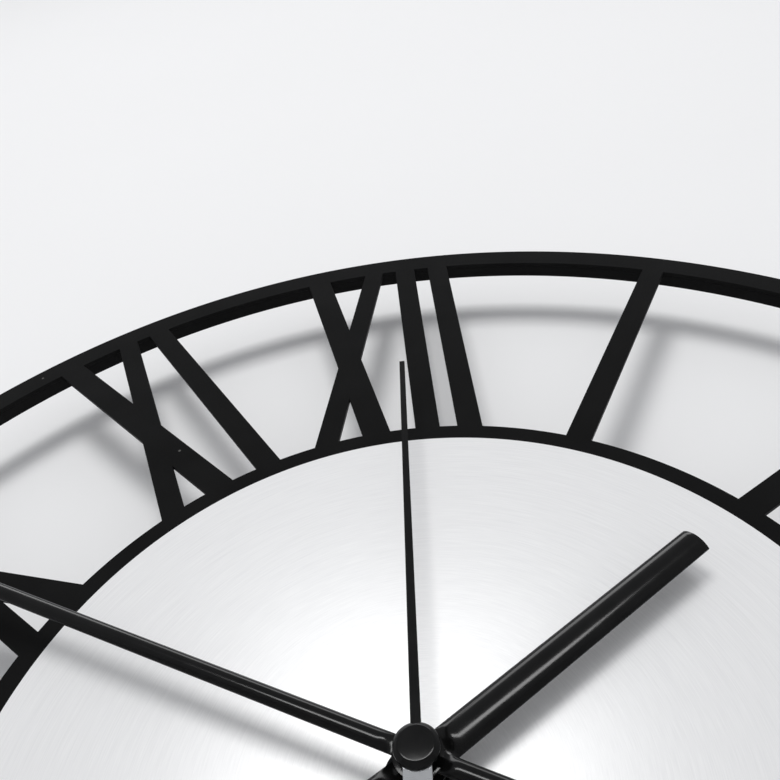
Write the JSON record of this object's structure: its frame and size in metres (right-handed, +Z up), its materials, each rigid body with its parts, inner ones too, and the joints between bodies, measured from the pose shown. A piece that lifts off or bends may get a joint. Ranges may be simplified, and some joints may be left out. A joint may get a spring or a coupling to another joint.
{
  "type": "wall clock",
  "caption": "Round open-faced wall clock: cut-out Roman numerals in a black ring, brushed metal centre disc, three hands and a battery quartz movement.",
  "frame": {"origin": "on the hand axis, in the flat back face of the movement's rear cover, which is the wall plane", "axes": "+Z up towards 12 o'clock, -Y out of the dial towards the viewer, +X towards 3 o'clock"},
  "size_m": [0.35, 0.032, 0.35],
  "materials": {
    "black_powder_coat": "fine matt powder coat on steel",
    "brushed_aluminium": "brushed in fine circles",
    "gloss_black": "gloss black lacquer on pressed aluminium",
    "brass": "turned and polished",
    "black_steel": "blackened turned steel",
    "steel": "bright stamped steel",
    "black_plastic": "fine spark-eroded texture",
    "white_nylon": "moulded, smooth",
    "black_rubber": "matt",
    "copper_wire": "enamelled wire wound in layers",
    "green_board": "solder mask",
    "bonding_tape": "thin brown transfer tape",
    "ferrite": "sintered, matt",
    "battery_jacket": "printed foil sleeve without any marks"
  },
  "bodies": {
    "case": {"numeral_ring": "black_powder_coat", "rim_strip_1": "black_powder_coat", "rim_strip_2": "black_powder_coat", "rim_strip_3": "black_powder_coat", "rim_strip_4": "black_powder_coat", "rim_strip_5": "black_powder_coat", "rim_strip_6": "black_powder_coat", "rim_strip_7": "black_powder_coat", "rim_strip_8": "black_powder_coat", "dial_disc": "brushed_aluminium", "bonding_film": "bonding_tape", "rubber_washer": "black_rubber", "front_washer": "black_steel", "hex_nut": "black_steel", "threaded_bush": "black_steel", "hanger_plate": "steel", "front_case": "black_plastic", "rear_cover": "black_plastic", "middle_plate": "white_nylon", "stator": "steel", "coil_core": "steel", "coil_bobbin": "white_nylon", "coil_winding": "copper_wire", "circuit_board": "green_board", "quartz_crystal": "steel", "chip_cover": "black_plastic", "negative_contact": "steel", "positive_contact": "steel"},
    "seconds": {"seconds_wheel": "steel", "second_hand": "gloss_black", "second_hand_tube": "brass", "hub_cap": "gloss_black"},
    "third": {"third_wheel": "white_nylon"},
    "centre": {"centre_wheel": "white_nylon"},
    "intermediate": {"intermediate_wheel": "white_nylon"},
    "rotor": {"rotor_shaft": "white_nylon", "rotor_magnet": "ferrite"},
    "minute": {"minute_tube": "brass", "minute_hand": "gloss_black", "minute_collet": "brass"},
    "hour": {"hour_wheel": "white_nylon", "hour_hand": "gloss_black"},
    "setting": {"setting_wheel": "white_nylon", "setting_knob": "white_nylon"},
    "battery": {"battery": "battery_jacket"}
  },
  "joints": [
    {"name": "seconds_turn", "type": "hinge", "parent": "case", "child": "seconds", "pos_m": [0, 0, 0], "axis": [0, 1, 0], "continuous": true},
    {"name": "third_turn", "type": "hinge", "parent": "case", "child": "third", "pos_m": [0.00837, 0, -0.00148], "axis": [0, 1, 0], "continuous": true},
    {"name": "centre_turn", "type": "hinge", "parent": "case", "child": "centre", "pos_m": [0, 0, 0], "axis": [0, 1, 0], "continuous": true},
    {"name": "intermediate_turn", "type": "hinge", "parent": "case", "child": "intermediate", "pos_m": [0, 0, 0.00693], "axis": [0, 1, 0], "continuous": true},
    {"name": "rotor_turn", "type": "hinge", "parent": "case", "child": "rotor", "pos_m": [0.00382, 0, 0.01148], "axis": [0, 1, 0], "continuous": true},
    {"name": "minute_turn", "type": "hinge", "parent": "case", "child": "minute", "pos_m": [0, 0, 0], "axis": [0, 1, 0], "continuous": true},
    {"name": "hour_turn", "type": "hinge", "parent": "case", "child": "hour", "pos_m": [0, 0, 0], "axis": [0, 1, 0], "continuous": true},
    {"name": "setting_turn", "type": "hinge", "parent": "case", "child": "setting", "pos_m": [-0.00851, 0, 0.0015], "axis": [0, 1, 0], "continuous": true},
    {"name": "battery_out", "type": "slide", "parent": "case", "child": "battery", "axis": [0, 1, 0], "range_m": [0, 0.03]}
  ],
  "couplings": [
    {"joint": "third_turn", "follows": "seconds_turn", "ratio": -0.13333},
    {"joint": "centre_turn", "follows": "seconds_turn", "ratio": 0.016667},
    {"joint": "intermediate_turn", "follows": "seconds_turn", "ratio": -6},
    {"joint": "rotor_turn", "follows": "seconds_turn", "ratio": 30},
    {"joint": "hour_turn", "follows": "minute_turn", "ratio": 0.083333},
    {"joint": "setting_turn", "follows": "minute_turn", "ratio": -0.33333}
  ]
}
